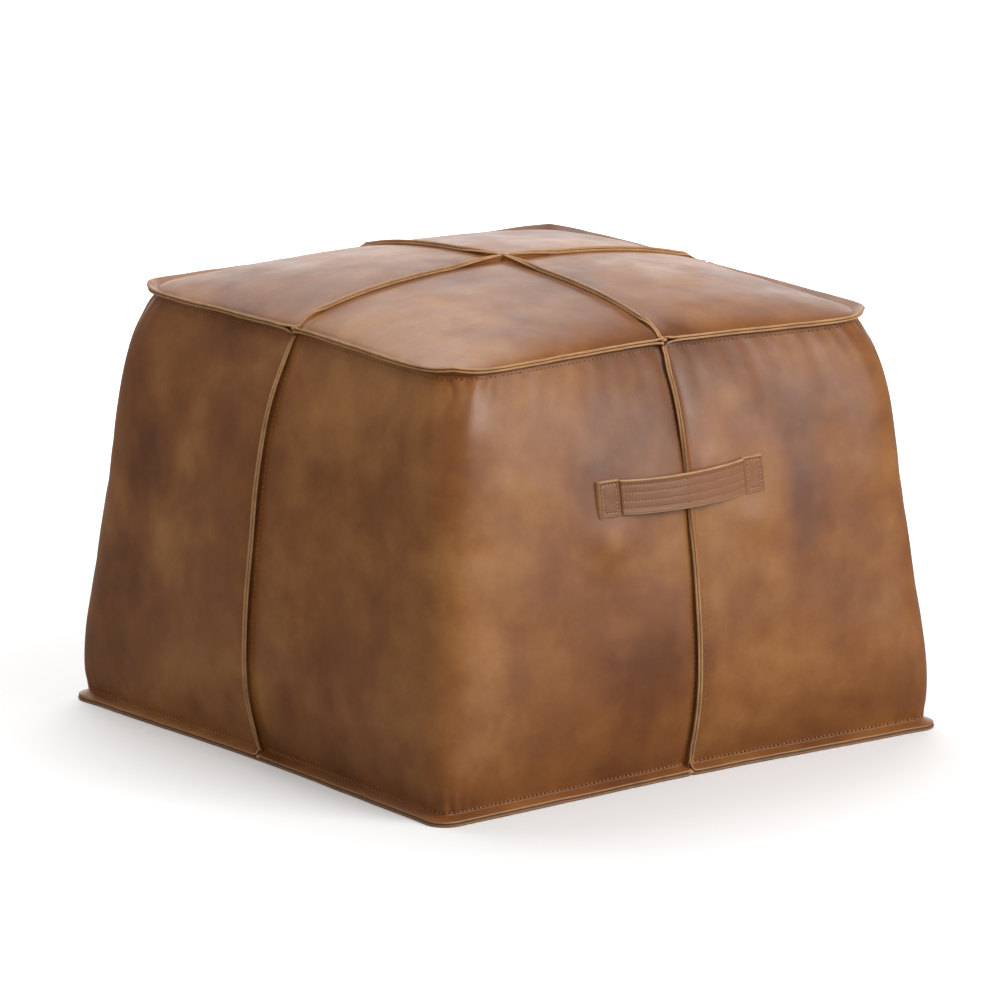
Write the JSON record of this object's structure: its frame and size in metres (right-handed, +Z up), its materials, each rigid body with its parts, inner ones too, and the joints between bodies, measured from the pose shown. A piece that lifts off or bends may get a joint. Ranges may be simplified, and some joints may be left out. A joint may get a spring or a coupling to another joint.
{
  "type": "leather pouf",
  "caption": "Square tapered leather pouf with a domed quartered top, outward raw-edge seams, a strap carrying handle on the front and a zip in the base.",
  "frame": {"origin": "centre of the underside, on the floor", "axes": "+Z up, -Y out of the face with the carrying handle, +X to the right of that face when it is seen from the front"},
  "size_m": [0.6304, 0.6304, 0.4608],
  "materials": {
    "cover_leather": "aniline leather with a soft semi-gloss and mottled patina",
    "base_leather": "plain matt leather",
    "handle_leather": "semi-gloss strap leather",
    "zip_cloth": "woven zip tape",
    "zip_nylon": "nylon coil",
    "zip_metal": "antique brass",
    "foam": "open-cell upholstery foam",
    "liner_cloth": "plain woven cotton",
    "wadding": "polyester fibre wadding"
  },
  "bodies": {
    "pouf": {"top_panel_front_left": "cover_leather", "top_panel_front_right": "cover_leather", "top_panel_back_left": "cover_leather", "top_panel_back_right": "cover_leather", "side_panel_front_left": "cover_leather", "side_panel_front_right": "cover_leather", "side_panel_back_left": "cover_leather", "side_panel_back_right": "cover_leather", "base_panel_left": "base_leather", "base_panel_right": "base_leather", "handle_end_left": "handle_leather", "handle_end_right": "handle_leather", "handle_backing_left": "base_leather", "handle_backing_right": "base_leather", "zip_tape_left": "zip_cloth", "zip_tape_right": "zip_cloth", "zip_teeth_left": "zip_nylon", "zip_teeth_right": "zip_nylon", "zip_stop_closed": "zip_metal", "zip_stop_open": "zip_metal", "foam_slab_bottom": "foam", "foam_slab_middle": "foam", "foam_slab_top": "foam", "crown_foam": "foam", "core_liner": "liner_cloth", "wadding_sleeve": "wadding", "top_wadding": "wadding"},
    "grip": {"handle_strap": "handle_leather", "handle_lining": "handle_leather"},
    "slider": {"zip_slider": "zip_metal"},
    "pull_tab": {"zip_pull_tab": "zip_metal"}
  },
  "joints": [
    {"name": "handle_lift", "type": "slide", "parent": "pouf", "child": "grip", "axis": [0, -0.9859, 0.1675], "range_m": [0, 0.015], "stiffness_N_per_m": 40},
    {"name": "zip_travel", "type": "slide", "parent": "pouf", "child": "slider", "axis": [0, 1, 0], "range_m": [0, 0.42]},
    {"name": "pull_tab_swing", "type": "hinge", "parent": "slider", "child": "pull_tab", "pos_m": [0, -0.21, 0.0084], "axis": [-1, 0, 0], "range_deg": [0, 170]}
  ]
}
